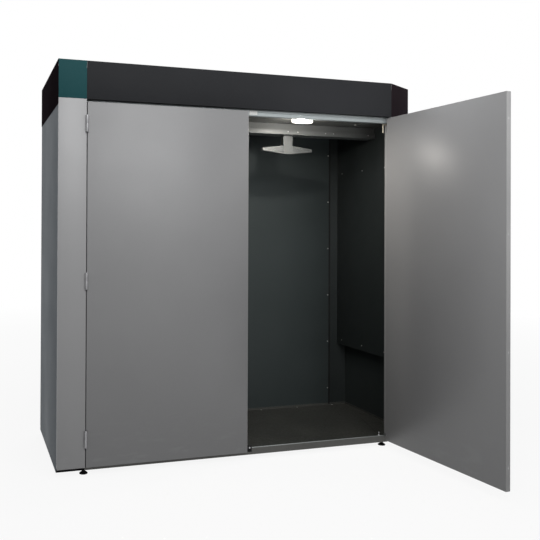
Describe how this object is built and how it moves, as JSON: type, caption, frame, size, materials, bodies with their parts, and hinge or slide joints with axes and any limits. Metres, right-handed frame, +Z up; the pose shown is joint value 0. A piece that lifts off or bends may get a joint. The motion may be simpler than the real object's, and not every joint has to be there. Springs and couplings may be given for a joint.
{
  "type": "drying cabinet",
  "caption": "Free-standing sheet-metal drying cabinet with hinged doors, an angled front corner, perforated air arms under a beam and a warm air unit on top.",
  "frame": {"origin": "on the floor under the middle of the cabinet's box with the right door standing open", "axes": "+Z up, the doors face -Y, +X to the right of someone who faces the doors"},
  "size_m": [1.972, 1.6294, 1.975],
  "materials": {
    "satin_grey": "satin metallic grey coating",
    "side_grey": "satin coating",
    "dark_liner": "semi-matt coating",
    "galvanised": "galvanised",
    "fascia_black": "satin",
    "fascia_teal": "satin",
    "corner_black": "satin",
    "black_plastic": "fine grain",
    "steel": "plain",
    "lens": "opal",
    "foam": "cellular",
    "filter_white": "fibrous",
    "cream": "gloss"
  },
  "bodies": {
    "cabinet": {"base_frame": "side_grey", "floor_tray": "galvanised", "side_panel_left": "side_grey", "side_panel_right": "side_grey", "side_liner_left": "dark_liner", "side_liner_right": "dark_liner", "back_panel": "side_grey", "back_liner": "dark_liner", "column_panel_left": "satin_grey", "corner_panel_right": "satin_grey", "header_rail": "galvanised", "ceiling_panel": "dark_liner", "air_duct_left": "dark_liner", "air_duct_right": "dark_liner", "hanging_beam": "galvanised", "air_post_left": "galvanised", "air_post_right": "galvanised", "hanger_arm_left_outer": "galvanised", "hanger_arm_left_inner": "galvanised", "hanger_arm_right_outer": "galvanised", "hanger_arm_right_inner": "galvanised", "lamp_housing_left": "black_plastic", "lamp_housing_right": "black_plastic", "lamp_lens_left": "lens", "lamp_lens_right": "lens", "door_catches": "black_plastic", "corner_hook": "cream", "fascia_accent": "fascia_teal", "fascia_front": "fascia_black", "fascia_corner": "corner_black", "fascia_side_left": "corner_black", "fascia_side_right": "corner_black", "roof_panel": "side_grey", "exhaust_collar": "galvanised", "cable_gland": "black_plastic", "fan_motor": "steel", "fan_scroll": "galvanised", "air_plenum": "galvanised", "heater_element": "steel", "air_filter": "filter_white", "control_box": "side_grey", "control_panel": "black_plastic", "hinge_strip_left": "steel", "hinge_strip_right": "steel"},
    "door_left": {"door_left_shell": "satin_grey", "door_left_core": "foam", "door_left_inner_panel": "satin_grey", "door_left_hinge_strip": "steel"},
    "door_right": {"door_right_shell": "satin_grey", "door_right_core": "foam", "door_right_inner_panel": "satin_grey", "door_right_hinge_strip": "steel"},
    "fan_wheel": {"fan_impeller": "galvanised"},
    "dial": {"program_dial": "black_plastic"},
    "button": {"start_button": "fascia_teal"},
    "foot_1": {"foot_1": "black_plastic"},
    "foot_2": {"foot_2": "black_plastic"},
    "foot_3": {"foot_3": "black_plastic"},
    "foot_4": {"foot_4": "black_plastic"}
  },
  "joints": [
    {"name": "door_left_hinge", "type": "hinge", "parent": "cabinet", "child": "door_left", "pos_m": [-0.849, 0.00792, 0.9], "axis": [0, 0, -1], "range_deg": [0, 180]},
    {"name": "door_right_hinge", "type": "hinge", "parent": "cabinet", "child": "door_right", "pos_m": [0.801, 0.00792, 0.9], "axis": [0, 0, 1], "range_deg": [-95, 85]},
    {"name": "fan_spin", "type": "hinge", "parent": "cabinet", "child": "fan_wheel", "pos_m": [-0.506, 0.60972, 1.85], "axis": [0, 0, 1], "continuous": true},
    {"name": "dial_turn", "type": "hinge", "parent": "cabinet", "child": "dial", "pos_m": [0.89949, 0.06512, 1.385], "axis": [-0.5283, 0.8491, 0], "range_deg": [0, 270]},
    {"name": "button_press", "type": "slide", "parent": "cabinet", "child": "button", "axis": [-0.5283, 0.8491, 0], "range_m": [0, 0.002], "stiffness_N_per_m": 400},
    {"name": "foot_1_turn", "type": "hinge", "parent": "cabinet", "child": "foot_1", "pos_m": [-0.849, 0.07572, 0.02], "axis": [0, 0, 1], "continuous": true},
    {"name": "foot_2_turn", "type": "hinge", "parent": "cabinet", "child": "foot_2", "pos_m": [0.789, 0.07572, 0.02], "axis": [0, 0, 1], "continuous": true},
    {"name": "foot_3_turn", "type": "hinge", "parent": "cabinet", "child": "foot_3", "pos_m": [-0.849, 0.75472, 0.02], "axis": [0, 0, 1], "continuous": true},
    {"name": "foot_4_turn", "type": "hinge", "parent": "cabinet", "child": "foot_4", "pos_m": [0.789, 0.75472, 0.02], "axis": [0, 0, 1], "continuous": true}
  ]
}
